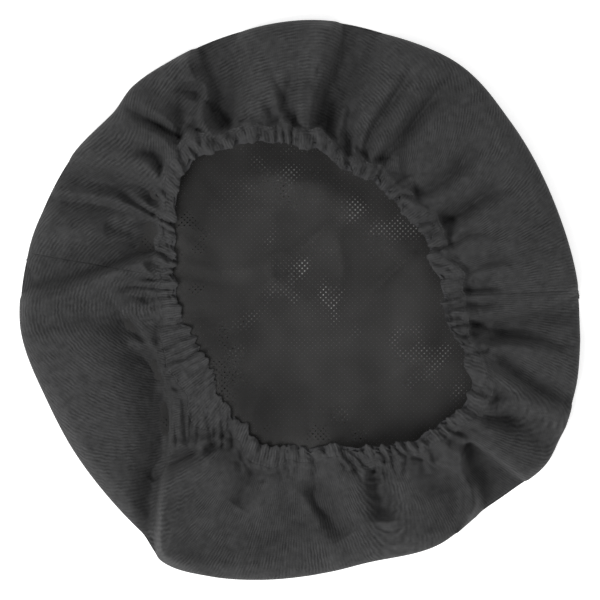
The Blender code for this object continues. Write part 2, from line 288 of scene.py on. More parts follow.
def calm_share(x, y):
    """From 0 in the stretches that lie smooth to 1 elsewhere."""
    share = np.ones(x.shape)
    for cx, cy, wide, deep in CALM:
        share *= 1.0 - 0.85 * np.exp(-(((x - cx) / wide) ** 2) - ((y - cy) / deep) ** 2)
    return share


# The part of the hem that is turned face up, whose gathers run straight up and down
TURNED_HEM = (206.0, 240.0)
# Where no gather runs far out, because the flap below the hem lies smooth
SHORT_CREASES = (262.0, 325.0)
CRUMPLES = 330
# From where to where in x upright tucks stand under the turned hem
TUCKS = (-68.0, -34.0)


def make_creases():
    """Creases between gathers: each crosses the hem and runs some way out into the band."""
    draw = np.random.default_rng(5)
    creases = []
    degrees = 0.0
    while degrees < 358.0:
        length = 9.0 + 42.0 * draw.random() ** 1.9
        depth = (2.4 + 0.07 * length) * draw.uniform(0.45, 1.5)
        spacing = draw.uniform(3.0, 6.0) + 6.0 * draw.random() ** 3
        turned = TURNED_HEM[0] < degrees < TURNED_HEM[1]
        if turned or SHORT_CREASES[0] < degrees < SHORT_CREASES[1]:
            length = min(length, 11.0)
        path, outer = crease_path(draw, degrees, length, 1.3)
        creases.append((depth * (0.6 if turned else 1.0), spacing * 0.55, 0.10 * length, path))
        degrees += math.degrees(spacing / (outer - 2.0))
    degrees = 0.0
    while degrees < 359.0:
        path, outer = crease_path(draw, degrees, draw.uniform(1.0, 6.0), 1.0)
        creases.append((draw.uniform(0.3, 0.9), draw.uniform(1.0, 1.8), 0.4, path))
        degrees += math.degrees(draw.uniform(2.4, 5.5) / (outer - 2.0))
    creases += make_crumples(draw, CRUMPLES)
    across, last = TUCKS
    while across < last:
        lean = draw.uniform(-1.5, 1.5)
        top, bottom = -50.0 + draw.uniform(-5, 5), -75.0 + draw.uniform(-1, 2)
        path = [(across - lean, top), (across, (top + bottom) / 2), (across + lean, bottom)]
        creases.append((draw.uniform(2.6, 4.0), 2.0, 0.0, path))
        across += draw.uniform(3.2, 4.8)
    return creases


def make_crumples(draw, count):
    """Short creases across and between the gathers, which break the hem up into lumps."""
    crumples = []
    degrees = draw.uniform(0.0, 360.0, count)
    inner, outer = hem_edges(degrees)
    for k in range(count):
        far = inner[k] + (outer[k] + 7.0 - inner[k]) * draw.random()
        angle = math.radians(degrees[k])
        middle = far * np.array((math.cos(angle), math.sin(angle)))
        lean = angle + math.radians(draw.normal(90.0, 32.0))
        half = draw.uniform(1.2, 3.6)
        bow = draw.uniform(-1.3, 1.3)
        ahead = np.array((math.cos(lean), math.sin(lean)))
        beside = np.array((-ahead[1], ahead[0]))
        path = [tuple(middle - ahead * half - beside * bow), tuple(middle + beside * bow),
                tuple(middle + ahead * half - beside * bow)]
        crumples.append((draw.uniform(0.5, 1.9), draw.uniform(1.4, 2.4), 0.0, path))
    return crumples


def crease_path(draw, degrees, length, bends):
    """A crooked line across the hem and a length beyond it, from the outside in."""
    inner, outer = hem_edges(np.array([degrees]))
    inner, outer = float(inner[0]), float(outer[0])
    slant, bend = draw.normal(0.0, 0.22), draw.normal(0.0, 0.30)
    angle = math.radians(degrees)
    out = np.array((math.cos(angle), math.sin(angle)))
    across = np.array((-out[1], out[0]))
    path = []
    for share in (1.0, 0.75, 0.5, 0.25, 0.0):
        far = inner + 0.5 + (outer - inner - 0.5 + length) * share
        side = (slant * share + bend * share * share) * length + draw.normal(0.0, bends)
        path.append(tuple(out * far + across * side))
    return path, outer


def crease_depths(x, y, creases):
    """How far the gathers' creases sink at points of the plan: round lobes meeting in cusps."""
    total = np.zeros(x.shape)
    for depth, width, opening, points in creases:
        reach = width + opening
        low, high = np.min(points, axis=0) - reach, np.max(points, axis=0) + reach
        near = (x > low[0]) & (x < high[0]) & (y > low[1]) & (y < high[1])
        if not near.any():
            continue
        gap, _, share = near_path(x[near], y[near], points)
        spread = width + opening * (1.0 - share)
        t = np.clip(1.0 - gap / spread, 0.0, 1.0)
        cusp = (1.0 - np.sqrt(1.0 - 0.98 * t * t)) / (1.0 - math.sqrt(0.02))
        valley = t * t * (3.0 - 2.0 * t)
        shape = cusp * (0.20 + 0.45 * share) + valley * (0.80 - 0.45 * share)
        total[near] += depth * shape * ease(share / 0.6)
    return total


def wrinkle_heights(u, s):
    """Slight unevenness that no crease explains."""
    height = 0.9 * noise(u, s, 22, 3, 21) * ease((s - 0.02) / 0.3)
    height += 0.8 * noise(u, s, 60, 7, 22) * ease((s - 0.1) / 0.5)
    height += 0.35 * noise(u, s, 130, 16, 23)
    return height


def plan(degrees, radius):
    """Plan coordinates of a direction and a distance from the outlines' middle."""
    angle = np.radians(degrees)
    return radius * np.cos(angle) + SHIFT[0], radius * np.sin(angle) + SHIFT[1]


def hem_edges(degrees):
    """The inner and outer radius of the hem in each direction."""
    u = np.asarray(degrees) / 360.0
    level = np.zeros_like(u)
    wobble = 1.6 * noise(u, level + 0.4, 40, 1, 31) + 1.1 * noise(u, level + 0.4, 90, 1, 34)
    inner = around(OPENING, degrees) + wobble
    uneven = 3.0 * noise(u, level + 0.3, 27, 1, 32) + 2.2 * noise(u, level + 0.3, 58, 1, 35)
    return inner, inner + np.maximum(around(HEM_WIDTH, degrees) + uneven, 8.0)


def hem_height(degrees):
    """Height of the hem in each direction, which sways slowly and ripples."""
    u = np.asarray(degrees) / 360.0
    level = np.zeros_like(u)
    waves = 1.5 * noise(u, level + 0.5, 11, 1, 41) + 1.2 * noise(u, level, 37, 1, 42)
    return around(HEM_LEVEL, degrees) + waves


CREASES = make_creases()


def casing_middle(degrees, share, pinch):
    """Height of the casing's middle layer: it dips outward and sinks at each crease."""
    inner, outer = hem_edges(degrees)
    dip = np.tan(np.radians(HEM_SLOPE)) * share * (outer - inner)[:, None]
    return hem_height(degrees)[:, None] + HEM_RISE - dip - 0.75 * np.minimum(pinch, 5.0)


def casing_half(degrees, share, pinch):
    """How far the casing's upper face stands over its middle layer."""
    u = (degrees / 360.0)[:, None]
    across = np.clip(share, 0.0, 1.0)
    half = HEM_HALF + 1.1 * noise(u, across * 0.4 + 0 * u, 61, 2, 52)
    half += 0.7 * noise(u, across * 0.5 + 0 * u, 150, 3, 51)
    half = np.maximum(half - 0.35 * np.minimum(pinch, 4.5), 0.9) * (1.0 - 0.6 * across**1.5)
    return half * (4.0 * across * (1.0 - across)) ** 0.375


def band_surface(degrees):
    """Points of the twill band, rows from the crown seam round the rim to under the hem."""
    rim = around(RIM, degrees)[:, None]
    inner, outer = hem_edges(degrees)
    end = (outer - 4.0)[:, None]
    u = (degrees / 360.0)[:, None]
    under = np.radians(np.linspace(90, 0, UNDER_ROWS + 1))[None, :-1]
    over = np.radians(np.linspace(0, 80, OVER_ROWS))[None, :]
    seam_in = rim * (1 - SEAM_SHARE)
    q_under = seam_in * (1 - np.cos(under))
    z_under = RIM_HEIGHT - (RIM_HEIGHT - UNDERSIDE) * np.sin(under) + 0 * rim
    q_over = RIM_ROUND * (1 - np.cos(over)) + 0 * rim
    z_over = RIM_HEIGHT + SHOULDER * np.sin(over) + 0 * rim
    rest = np.linspace(0, 1, TOP_ROWS + 1)[None, 1:]
    q_start, z_start = q_over[:, -1:], z_over[:, -1:]
    width = rim - end
    q_top = q_start + (width - q_start) * rest
    hem = hem_height(degrees)[:, None]
    z_top = z_start + (hem - z_start) * ease(rest) * 0.55 + (hem - z_start) * rest * 0.45
    q = np.concatenate([q_under, q_over, q_top], axis=1)
    z = np.concatenate([z_under, z_over, z_top], axis=1)
    run = np.hypot(np.diff(q, axis=1), np.diff(z, axis=1)).cumsum(axis=1)
    run = np.concatenate([np.zeros_like(rim), run], axis=1)
    s = np.concatenate([np.zeros_like(q_under), q_over / width, q_top / width], axis=1)
    x, y = plan(degrees[:, None], rim - q)
    # both are 1 from the rim on; under it on_top is 0 and raised grows from 0 at the crown seam
    all_over, all_top = np.ones_like(q_over), np.ones_like(q_top)
    on_top = np.concatenate([np.zeros_like(q_under), all_over, all_top], axis=1)
    raised = np.concatenate([1.0 - np.sin(under) + 0 * rim, all_over, all_top], axis=1)
    folds, pinch = fold_heights(x, y), crease_depths(x, y, CREASES)
    tuck = 1.0 - 0.5 * ease((s - 0.92) / 0.08)
    unders = np.minimum(folds, 0.0) * raised + np.maximum(folds, 0.0) * ease(q / 6.0) * on_top
    swells = swell_heights(x, y) * ease(q / 8.0) * on_top
    gathers = (wrinkle_heights(u, s) - pinch) * calm_share(x, y) * ease((q - 1.0) / 6.0) * on_top
    for seam in (LEFT_SEAM, RIGHT_SEAM):
        away = np.radians((degrees[:, None] - seam + 180.0) % 360.0 - 180.0) * (rim - q)
        gathers -= 0.3 * np.exp(-((away / 1.4) ** 2)) * on_top
    least = UNDERSIDE + FLOOR_OF_FOLDS * ease(q / 2.0) * on_top
    z = np.maximum(z + unders * tuck + swells + gathers, least)
    radius = rim - q
    into_casing = ease((outer[:, None] + 2.5 - radius) / 4.0) * on_top
    share = (radius - inner[:, None]) / (outer - inner)[:, None]
    over_casing = casing_middle(degrees, share, pinch) + casing_half(degrees, share, pinch)
    over_casing += 0.35 - 1.6 * ease((outer[:, None] - 2.6 - radius) / 1.4)
    z = z + (over_casing - z) * into_casing
    return np.stack([x, y, z], axis=-1), wale_map(degrees[:, None], rim * SEAM_SHARE + run)


def wale_map(degrees, far):
    """Cloth coordinates whose first one counts across the wales.

    The back half's wales run upright at its left and level at its right. The front half's stand
    upright at its left and turn level towards its right end.
    """
    turned = 90.0 * ease((degrees - 285.0) / 55.0)
    angle = np.radians(degrees - turned)
    across, along = far * np.cos(angle), far * np.sin(angle)
    at_back = (degrees > RIGHT_SEAM - 1.0) & (degrees < 90.0)
    at_back_left = (degrees >= 90.0) & (degrees <= LEFT_SEAM)
    level, upright = far * np.sin(angle), far * np.cos(angle)
    lean = np.radians((degrees - 180.0) * ease((degrees - 100.0) / 60.0))
    across = np.where(at_back, level, np.where(at_back_left, far * np.cos(lean), across))
    along = np.where(at_back, -upright, np.where(at_back_left, (degrees - 90.0) * 2.1, along))
    return np.stack([across, along], axis=-1)


def mesh_object(name, points, faces, uv=None):
    """A mesh object from points in millimetres and quads, with a map in metres if given."""
    mesh = bpy.data.meshes.new(name)
    points = np.asarray(points, float).reshape(-1, 3) * MM
    faces = np.asarray(faces, int).reshape(-1, 4)
    mesh.vertices.add(len(points))
    mesh.vertices.foreach_set("co", points.ravel())
    mesh.loops.add(faces.size)
    mesh.loops.foreach_set("vertex_index", faces.ravel())
    mesh.polygons.add(len(faces))
    mesh.polygons.foreach_set("loop_start", np.arange(0, faces.size, 4))
    mesh.polygons.foreach_set("use_smooth", np.ones(len(faces), bool))
    if uv is not None:
        layer = mesh.uv_layers.new(name="cloth")
        flat = np.asarray(uv, float).reshape(-1, 2)[faces.ravel()] * MM
        layer.data.foreach_set("uv", flat.ravel())
    mesh.update(calc_edges=True)
    mesh.validate()
    item = bpy.data.objects.new(name, mesh)
    bpy.context.scene.collection.objects.link(item)
    return item


def grid_faces(rows, columns, close_rows=False, close_columns=False):
    """Quads over a grid of points stored row by row, facing along column step x row step."""
    i = np.arange(rows if close_rows else rows - 1)
    j = np.arange(columns if close_columns else columns - 1)
    i, j = np.meshgrid(i, j, indexing="ij")
    i2, j2 = (i + 1) % rows, (j + 1) % columns
    quads = (i * columns + j, i * columns + j2, i2 * columns + j2, i2 * columns + j)
    return np.stack(quads, axis=-1).reshape(-1, 4)


def thicken(item, thickness):
    """Give a surface a thickness in millimetres, on the side its faces look away from."""
    solid = item.modifiers.new("thickness", "SOLIDIFY")
    solid.thickness = thickness * MM
    solid.offset = -1.0


# Materials


def new_material(name, colour, roughness):
    material = bpy.data.materials.new(name)
    material.use_nodes = True
    tree = material.node_tree
    shader = tree.nodes["Principled BSDF"]
    shader.inputs["Base Color"].default_value = (*colour, 1.0)
    shader.inputs["Roughness"].default_value = roughness
    shader.inputs["Specular IOR Level"].default_value = 0.18
    return material, tree, shader


def node(tree, kind, **inputs):
    item = tree.nodes.new(kind)
    for key, value in inputs.items():
        item.inputs[key].default_value = value
    return item


def join(tree, source, target):
    tree.links.new(source, target)


def map_range(tree, source, start, end, low=0.0, high=1.0):
    item = node(tree, "ShaderNodeMapRange")
    for key, value in (("From Min", start), ("From Max", end), ("To Min", low), ("To Max", high)):
        item.inputs[key].default_value = value
    join(tree, source, item.inputs["Value"])
    return item.outputs["Result"]


def noise_at(tree, place, scale, detail, roughness=0.5):
    item = node(tree, "ShaderNodeTexNoise", Scale=scale, Detail=detail, Roughness=roughness)
    join(tree, place, item.inputs["Vector"])
    return item.outputs["Fac"]


def bands(tree, place, direction, pitch, distortion):
    """Sine bands across the cloth's map, with their pitch in millimetres."""
    item = node(tree, "ShaderNodeTexWave", Scale=2 * math.pi * 1000.0 / pitch / 20.0)
    item.wave_type = "BANDS"
    item.bands_direction = direction
    item.inputs["Distortion"].default_value = distortion
    join(tree, place, item.inputs["Vector"])
    return item


def add_bump(tree, shader, height, strength, distance):
    bump = node(tree, "ShaderNodeBump", Strength=strength, Distance=distance)
    join(tree, height, bump.inputs["Height"])
    join(tree, bump.outputs["Normal"], shader.inputs["Normal"])


def add_tone(tree, shader, tone, colour, dark, light):
    """Colour the cloth between two multiples of its colour, each at its place on a ramp."""
    ramp = tree.nodes.new("ShaderNodeValToRGB")
    for element, (place, share) in zip(ramp.color_ramp.elements, (dark, light), strict=True):
        element.position = place
        element.color = (*[c * share for c in colour], 1.0)
    join(tree, tone, ramp.inputs["Fac"])
    join(tree, ramp.outputs["Color"], shader.inputs["Base Color"])


def maths(tree, operation, first, second):
    item = tree.nodes.new("ShaderNodeMath")
    item.operation = operation
    for socket, value in zip(item.inputs, (first, second), strict=False):
        if isinstance(value, (int, float)):
            socket.default_value = value
        else:
            tree.links.new(value, socket)
    return item.outputs[0]


def twill_material(name, colour, wale=1.9):
    """Black twill: raised wales with a finer weave across them, a nap and uneven fading."""
    material, tree, shader = new_material(name, colour, 0.95)
    shader.inputs["Sheen Weight"].default_value = 0.05
    shader.inputs["Sheen Roughness"].default_value = 0.45
    uv = node(tree, "ShaderNodeUVMap")
    uv.uv_map = "cloth"
    solid = node(tree, "ShaderNodeTexCoord").outputs["Object"]
    wales = bands(tree, uv.outputs["UV"], "X", wale, 3.2)
    wales.inputs["Detail"].default_value = 1.0
    wales.inputs["Detail Scale"].default_value = 1.5
    wales = wales.outputs["Fac"]
    weave = bands(tree, uv.outputs["UV"], "Y", 0.9, 0.6).outputs["Fac"]
    fuzz = noise_at(tree, solid, 1800.0, 3.0, 0.7)
    patch = noise_at(tree, solid, 38.0, 4.0, 0.6)
    mottle = noise_at(tree, solid, 300.0, 3.0, 0.6)
    worn = noise_at(tree, solid, 130.0, 2.0, 0.6)
    # the height: wales, then the threads across them, then loose fibres
    height = maths(tree, "MULTIPLY", wales, 0.8)
    height = maths(tree, "ADD", height, maths(tree, "MULTIPLY", weave, 0.25))
    height = maths(tree, "ADD", height, maths(tree, "MULTIPLY", fuzz, 0.35))
    add_bump(tree, shader, height, 0.5, 0.0003)
    # the colour: lighter on the wales where they aren't worn off, uneven in patches and specks
    clear = map_range(tree, worn, 0.38, 0.62)
    ribs = maths(tree, "SUBTRACT", wales, 0.5)
    ribs = maths(tree, "MULTIPLY", ribs, maths(tree, "MULTIPLY", clear, 0.5))
    tone = maths(tree, "ADD", ribs, 0.14)
    tone = maths(tree, "ADD", tone, maths(tree, "MULTIPLY", weave, 0.08))
    tone = maths(tree, "ADD", tone, maths(tree, "MULTIPLY", patch, 0.45))
    specks = maths(tree, "SUBTRACT", mottle, 0.46)
    tone = maths(tree, "ADD", tone, maths(tree, "MULTIPLY", specks, 0.85))
    tone = maths(tree, "ADD", tone, maths(tree, "MULTIPLY", fuzz, 0.25))
    add_tone(tree, shader, tone, colour, (0.0, 0.38), (1.0, 1.99))
    return material


def net_material(name, colour):
    """Knitted mesh: matt black yarn with a slightly warm cast and a knobbly surface."""
    material, tree, shader = new_material(name, colour, 0.85)
    shader.inputs["Sheen Weight"].default_value = 0.15
    solid = node(tree, "ShaderNodeTexCoord").outputs["Object"]
    yarn = noise_at(tree, solid, 1400.0, 2.0)
    patch = noise_at(tree, solid, 26.0, 3.0)
    add_bump(tree, shader, yarn, 0.5, 0.0002)
    tone = maths(tree, "MULTIPLY", yarn, 0.6)
    unevenness = maths(tree, "SUBTRACT", patch, 0.25)
    tone = maths(tree, "ADD", tone, maths(tree, "MULTIPLY", unevenness, 0.95))
    add_tone(tree, shader, tone, colour, (0.35, 0.65), (0.8, 1.4))
    return material


def thread_material(name, colour):
    """Spun thread: a fine twist along it and a dull shine."""
    material, tree, shader = new_material(name, colour, 0.6)
    solid = node(tree, "ShaderNodeTexCoord").outputs["Object"]
    twist = noise_at(tree, solid, 2600.0, 2.0)
    add_bump(tree, shader, twist, 0.5, 0.0001)
    add_tone(tree, shader, twist, colour, (0.0, 0.6), (1.0, 1.5))
    return material


BLACK = (0.026, 0.026, 0.0264)
twill_back = twill_material("twill_back", BLACK)
twill_front = twill_material("twill_front", BLACK)
twill_hem = twill_material("twill_hem", (0.029, 0.029, 0.0295), 1.5)
net_black = net_material("mesh_cloth", (0.0252, 0.0247, 0.0242))
thread_black = thread_material("thread", (0.045, 0.045, 0.046))


# The band


def build_band(name, start, end, material):
    count = round(BAND_COLUMNS * (end - start) / 360.0) + 1
    degrees = np.linspace(start, end, count)
    points, cloth = band_surface(degrees)
    item = mesh_object(name, points, grid_faces(*points.shape[:2])[:, ::-1], cloth)
    thicken(item, CLOTH)
    item.data.materials.append(material)
    return item


band_back = build_band("band_back", RIGHT_SEAM, LEFT_SEAM, twill_back)
band_front = build_band("band_front", LEFT_SEAM, RIGHT_SEAM + 360.0, twill_front)


# The hem

HEM_ROUND, HEM_OVER = 520.0, 13.0  # the cloth's map: round the hem, and from edge to edge over it
HEM_TURN = 2.95  # how far the cloth goes round the casing each way, in radians
HEM_ROWS = 35
HEM_CLOTH = 0.45


def hem_surface(degrees, turn):
    """The casing, a soft flat tube drawn into lobes. turn is 0 at the opening and pi outside."""
    inner, outer = hem_edges(degrees)
    u = (degrees / 360.0)[:, None]
    turn = np.asarray(turn)[None, :]
    share = 0.5 - 0.5 * np.cos(turn)
    width = (outer - inner)[:, None]
    flat_x, flat_y = plan(degrees[:, None], inner[:, None] + share * width)
    pinch = crease_depths(flat_x, flat_y, CREASES)
    edge_x, edge_y = plan(degrees[:, None], inner[:, None] + 2.5 + 0 * share)
    edge_pinch = crease_depths(edge_x, edge_y, CREASES)
    rise = np.sign(turn) * casing_half(degrees, share, pinch)
    scallop = 0.9 * np.minimum(edge_pinch, 4.0) * (1.0 - share) ** 2
    x, y = plan(degrees[:, None], inner[:, None] + scallop + share * width)
    height = casing_middle(degrees, share, pinch) + rise
    along = degrees[:, None] / 360.0 * HEM_ROUND + 0 * share
    over = turn / math.pi * HEM_OVER + 0 * u
    return np.stack([x, y, height], axis=-1), np.stack([along, over], axis=-1)


hem_degrees = np.arange(HEM_COLUMNS) * 360.0 / HEM_COLUMNS
hem_points, hem_cloth = hem_surface(hem_degrees, np.linspace(-HEM_TURN, HEM_TURN, HEM_ROWS))
hem_faces = grid_faces(*hem_points.shape[:2], True)
hem_casing = mesh_object("hem_ruffle", hem_points, hem_faces, hem_cloth)
thicken(hem_casing, HEM_CLOTH)
hem_casing.data.materials.append(twill_hem)


# The crown


# Soft creases in the slack mesh cloth: height, half-width, path
NET_CREASES = (
    (3.4, 2.6, ((34, 54), (14, 38), (0, 26), (-17, 8), (-24, -4))),
    (3.2, 2.0, ((62, 26), (50, 16), (36, 2))),
    (2.2, 6.0, ((-44, 44), (-20, 46), (2, 60), (20, 66))),
    (2.0, 4.0, ((-56, 20), (-44, 16), (-28, 16), (-10, 22))),
    (1.6, 7.0, ((-30, -34), (-6, -24), (20, -22), (52, -16))),
    (1.8, 3.0, ((28, 48), (20, 32), (22, 14), (12, -6))),
    (1.6, 4.0, ((70, -30), (48, -40), (24, -58))),
    (2.4, 2.0, ((-4, 26), (-14, 22), (-12, 10), (0, 16))),
    (4.5, 9.0, ((-50, 42), (-27, 59), (0, 61), (24, 51), (42, 32))),
)


def net_creases(x, y):
    total = np.zeros(x.shape)
    for rise, width, path in NET_CREASES:
        gap, _, share = near_path(x, y, path)
        total += rise * np.sin(math.pi * np.clip(share, 0.02, 0.98)) * np.exp(-((gap / width) ** 2))
    return total


# Where the mesh cloth touches what it lies on: x, y and half-width
NET_TOUCHES = (
    (18, -13, 27), (-32, 50, 17), (27, 50, 16), (-20, 19, 13), (47, -44, 12), (-16, -44, 14),
    (26, -67, 12), (-50, 42, 8), (-38, 15, 8), (44, 14, 10), (2, 30, 12), (66, -40, 7),
)


NET_SPAN = 300.0  # the square over which the net's noise is laid


def crown_height(x, y):
    """The mesh crown lies slack: it touches down in places and stands up in soft folds between."""
    u, v = x / NET_SPAN + 0.5, y / NET_SPAN + 0.5
    height = 2.4 + 2.4 * noise(u, v, 9, 9, 61) + 1.4 * noise(u, v, 19, 19, 62)
    height += 3.0 * np.exp(-(((x + 46.0) / 26.0) ** 2) - ((y + 10.0) / 40.0) ** 2)
    height += 3.0 * np.exp(-(((x + 10.0) / 50.0) ** 2) - ((y + 62.0) / 16.0) ** 2)
    for tx, ty, reach in NET_TOUCHES:
        height -= 2.8 * np.exp(-(((x - tx) ** 2 + (y - ty) ** 2) / reach**2))
    height = np.log1p(np.exp(2.2 * height)) / 2.2 + net_creases(x, y)
    away = np.hypot(x, y)
    degrees = np.degrees(np.arctan2(y, x)) % 360.0
    low_side = ease((degrees - 110.0) / 40.0) * ease((312.0 - degrees) / 40.0)
    rise = 0.75 * (hem_height(degrees) - 3.0)
    height += rise * low_side * np.exp(-(((hem_edges(degrees)[0] + 1.0 - away) / 14.0) ** 2))
    edge = ease((124.0 - away) / 30.0)
    return 0.3 + height * edge


NET_PITCH = 1.95
NET_HOLE = 0.11  # least opening, as a share of a cell


def build_net():
    """The crown's mesh cloth: a lattice turned by 45 degrees with an opening in every cell."""
    half = int(NET_SPAN / 2 / NET_PITCH)
    index = np.arange(-half, half + 1)
    i, j = np.meshgrid(index, index, indexing="ij")
    turn = math.radians(45.0)

    def place(a, b):
        x = NET_PITCH * (a * math.cos(turn) - b * math.sin(turn))
        y = NET_PITCH * (a * math.sin(turn) + b * math.cos(turn))
        return x, y

    def to_outline(x, y):
        away = np.hypot(x, y)
        limit = around(RIM, np.degrees(np.arctan2(y, x)) % 360.0) * SEAM_SHARE - 0.5
        pull = np.minimum(1.0, limit / np.maximum(away, 1e-9))
        return x * pull, y * pull, away < limit

    size = len(index)
    x, y = place(i, j)
    x, y, inside = to_outline(x, y)
    keep = inside[:-1, :-1] | inside[1:, :-1] | inside[1:, 1:] | inside[:-1, 1:]
    ci, cj = np.nonzero(keep)
    corner = np.stack([ci * size + cj, (ci + 1) * size + cj,
                       (ci + 1) * size + cj + 1, ci * size + cj + 1], axis=-1)
    flat_x, flat_y = x.ravel(), y.ravel()
    middle_x = flat_x[corner].mean(axis=1, keepdims=True)
    middle_y = flat_y[corner].mean(axis=1, keepdims=True)
    u, v = middle_x / NET_SPAN + 0.5, middle_y / NET_SPAN + 0.5
    patchy = noise(u, v, 9, 9, 63) + noise(u, v, 28, 28, 64)
    stretched = np.clip(net_creases(middle_x, middle_y) - 0.9, 0.0, 1.2)
    open_share = NET_HOLE + 0.42 * np.clip(patchy - 0.30, 0.0, 0.50) + 0.06 * stretched
    hole_x = middle_x + (flat_x[corner] - middle_x) * open_share
    hole_y = middle_y + (flat_y[corner] - middle_y) * open_share
    base = size * size
    hole = base + np.arange(len(ci) * 4).reshape(-1, 4)
    quads = [
        np.stack([corner[:, k], corner[:, (k + 1) % 4], hole[:, (k + 1) % 4], hole[:, k]], axis=-1)
        for k in range(4)
    ]
    faces = np.concatenate(quads)
    px = np.concatenate([flat_x, hole_x.ravel()]) + SHIFT[0]
    py = np.concatenate([flat_y, hole_y.ravel()]) + SHIFT[1]
    used, faces = np.unique(faces, return_inverse=True)
    px, py = px[used], py[used]
    pz = crown_height(px, py)
    item = mesh_object("crown_net", np.stack([px, py, pz], axis=-1), faces.reshape(-1, 4),
                       np.stack([px, py], axis=-1))
    item.data.materials.append(net_black)
    return item


crown_net = build_net()


# Seams, stitches and the elastic

OVERLOCK_PITCH = 2.2
STITCH = (2.5, 0.6, 0.2)  # length, gap and radius of a stitch


def overlock_material(name, colour):
    """Overlock loops: slanting threads close together over a cut edge."""
    material, tree, shader = new_material(name, colour, 0.7)
    uv = node(tree, "ShaderNodeUVMap")
    uv.uv_map = "cloth"
    loops = bands(tree, uv.outputs["UV"], "DIAGONAL", 0.55, 1.5).outputs["Fac"]
    add_bump(tree, shader, loops, 0.6, 0.0002)
    add_tone(tree, shader, loops, colour, (0.0, 0.55), (1.0, 1.5))
    return material


overlock_black = overlock_material("overlock", (0.035, 0.035, 0.036))
elastic_black = overlock_material("elastic", (0.045, 0.045, 0.047))


def swept_ring(name, degrees, sections, material):
    """A closed ring from sections of (radius, height), one for each direction."""
    radius, height = sections[..., 0], sections[..., 1]
    x, y = plan(degrees[:, None], radius)
    corners = sections.shape[1]
    cloth = np.stack(
        [np.radians(degrees)[:, None] * radius, np.arange(corners)[None, :] * 1.2 + 0 * radius], -1
    )
    points = np.stack([x, y, height], axis=-1)
    item = mesh_object(name, points, grid_faces(*points.shape[:2], True, True), cloth)
    item.data.materials.append(material)
    return item


def build_crown_overlock():
    """The seam allowance of crown and band, overlocked and turned inward over the mesh cloth."""
    degrees = np.arange(1920) * 360.0 / 1920
    rim = around(RIM, degrees)
    stitch = np.sin(np.radians(degrees) * rim * 2 * math.pi / OVERLOCK_PITCH)[:, None]
    turn = np.arange(10)[None, :] * 2 * math.pi / 10
    middle = (rim * SEAM_SHARE - 4.6)[:, None]
    radius = middle - (3.3 + 0.2 * stitch) * np.cos(turn)
    height = 1.45 + (0.5 + 0.12 * stitch) * np.sin(turn)
    sections = np.stack([radius, height], axis=-1)
    return swept_ring("crown_overlock", degrees, sections, overlock_black)


def surface_normals(points):
    """Unit normals of a grid of points, on the side that grid_faces turns its faces to."""
    along = np.gradient(points, axis=0)
    across = np.gradient(points, axis=1)
    normal = np.cross(across, along)
    return normal / np.linalg.norm(normal, axis=-1, keepdims=True)


def build_side_allowance(name, degrees):
    """The overlocked allowance of a side seam, lying against the band's inner face."""
    points, _ = band_surface(degrees + np.linspace(-1.7, 1.7, 13))
    normal = surface_normals(points)
    first, last = 2, -12
    inward = points + normal * (CLOTH + 0.2) * np.sign(-normal[6, 60, 2])
    inward = inward[:, first:last]
    middle = inward[6]
    run = np.concatenate([[0], np.linalg.norm(np.diff(middle, axis=0), axis=1).cumsum()])
    fine = np.arange(0.0, run[-1], OVERLOCK_PITCH / 5)
    grid = np.stack([
        np.stack([np.interp(fine, run, column[:, k]) for k in range(3)], axis=-1)
        for column in inward
    ])
    across = np.arange(13)[:, None] * 0.55 + 0 * fine
    cloth = np.stack([across, 0 * across + fine], axis=-1)
    item = mesh_object(name, grid, grid_faces(*grid.shape[:2])[:, ::-1], cloth)
    thicken(item, 0.9)
    item.data.materials.append(overlock_black)
    return item


def build_elastic():
    """The flat elastic that runs round inside the casing."""
    degrees = np.arange(1080) / 3.0
    inner, outer = hem_edges(degrees)
    width = (outer - inner)[:, None]
    share = np.array([0.14, 0.12, 0.14, 0.56, 0.58, 0.56])[None, :] + 0 * width
    side = np.array([-1.0, 0.0, 1.0, 1.0, 0.0, -1.0])[None, :]
    x, y = plan(degrees[:, None], inner[:, None] + share * width)
    pinch = crease_depths(x, y, CREASES)
    height = casing_middle(degrees, share, pinch) + 0.16 * side
    sections = np.stack([inner[:, None] + share * width, height], axis=-1)
    return swept_ring("elastic_ring", degrees, sections, elastic_black)


def stitch_row(name, line, up, stitch, material):
    """Separate stitches along a line: each comes out of the cloth, lies on it and goes back in."""
    length, gap, radius = stitch
    run = np.concatenate([[0], np.linalg.norm(np.diff(line, axis=0), axis=1).cumsum()])
    count = int(run[-1] // (length + gap))
    stations = np.linspace(0.0, 1.0, 6)
    places = (np.arange(count) * run[-1] / count)[:, None] + stations[None, :] * length

    def along_line(values):
        return np.stack([np.interp(places, run, values[:, k]) for k in range(3)], axis=-1)

    centre, ups = along_line(line), along_line(up)
    ups /= np.linalg.norm(ups, axis=-1, keepdims=True)
    ahead = np.gradient(centre, axis=1)
    ahead /= np.linalg.norm(ahead, axis=-1, keepdims=True)
    sides = np.cross(ahead, ups)
    arch = np.sin(math.pi * stations)[None, :, None]
    centre = centre + ups * radius * (1.5 * np.sqrt(arch) - 0.9)
    turn = (np.arange(8) * math.pi / 4)[None, None, :, None]
    thick = radius * (0.35 + 0.65 * np.sqrt(arch))[..., None]
    points = centre[:, :, None] + thick * (
        np.cos(turn) * sides[:, :, None] + np.sin(turn) * ups[:, :, None]
    )
    one = grid_faces(6, 8, False, True)
    caps = np.array([(0, 1, 2, 7), (7, 2, 3, 6), (6, 3, 4, 5)])
    one = np.concatenate([one[:, ::-1], caps, caps[:, ::-1] + 40])
    faces = (one[None] + np.arange(count)[:, None, None] * 48).reshape(-1, 4)
    item = mesh_object(name, points, faces)
    item.data.materials.append(material)
    return item


